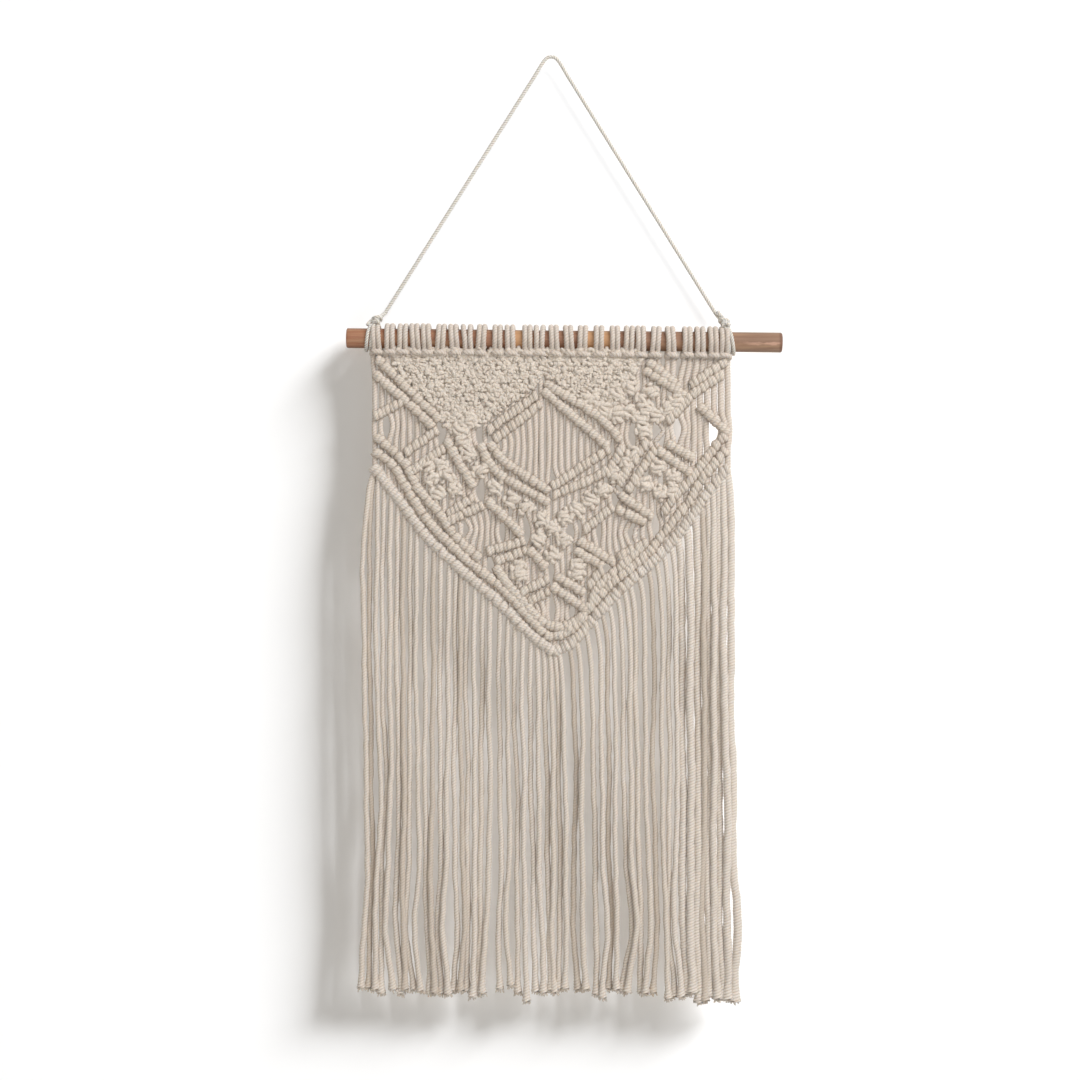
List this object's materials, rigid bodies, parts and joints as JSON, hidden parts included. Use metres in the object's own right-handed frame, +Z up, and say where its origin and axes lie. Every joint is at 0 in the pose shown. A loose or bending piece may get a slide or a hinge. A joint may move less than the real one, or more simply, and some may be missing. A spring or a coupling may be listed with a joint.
{
  "type": "macrame wall hanging with dowel",
  "caption": "Macrame wall hanging: knotted V-shaped cotton panel with a long fringe, larks-headed to a wooden dowel that hangs from a thin cord.",
  "frame": {"origin": "inside of the hanger's bend, where it lies on the nail or hook", "axes": "+Z up, +X to the right along the dowel as seen from the room, -Y towards the room and +Y towards the wall"},
  "size_m": [0.35, 0.0223, 0.7616],
  "materials": {
    "cotton": "matte twisted cotton",
    "cotton_cord": "matte twisted cotton",
    "wood": "satin, unvarnished"
  },
  "bodies": {
    "root": {"dowel": "wood", "hanger_cord": "cotton_cord", "hanger_knot_left": "cotton_cord", "hanger_knot_right": "cotton_cord", "larks_head_01": "cotton", "larks_head_02": "cotton", "larks_head_03": "cotton", "larks_head_04": "cotton", "larks_head_05": "cotton", "larks_head_06": "cotton", "larks_head_07": "cotton", "larks_head_08": "cotton", "larks_head_09": "cotton", "larks_head_10": "cotton", "larks_head_11": "cotton", "larks_head_12": "cotton", "larks_head_13": "cotton", "larks_head_14": "cotton", "larks_head_15": "cotton", "larks_head_16": "cotton", "larks_head_17": "cotton", "larks_head_18": "cotton", "larks_head_19": "cotton", "larks_head_20": "cotton", "larks_head_21": "cotton", "larks_head_22": "cotton", "larks_head_23": "cotton", "larks_head_24": "cotton", "larks_head_25": "cotton", "larks_head_26": "cotton", "knotted_panel": "cotton", "fringe": "cotton"}
  },
  "joints": []
}
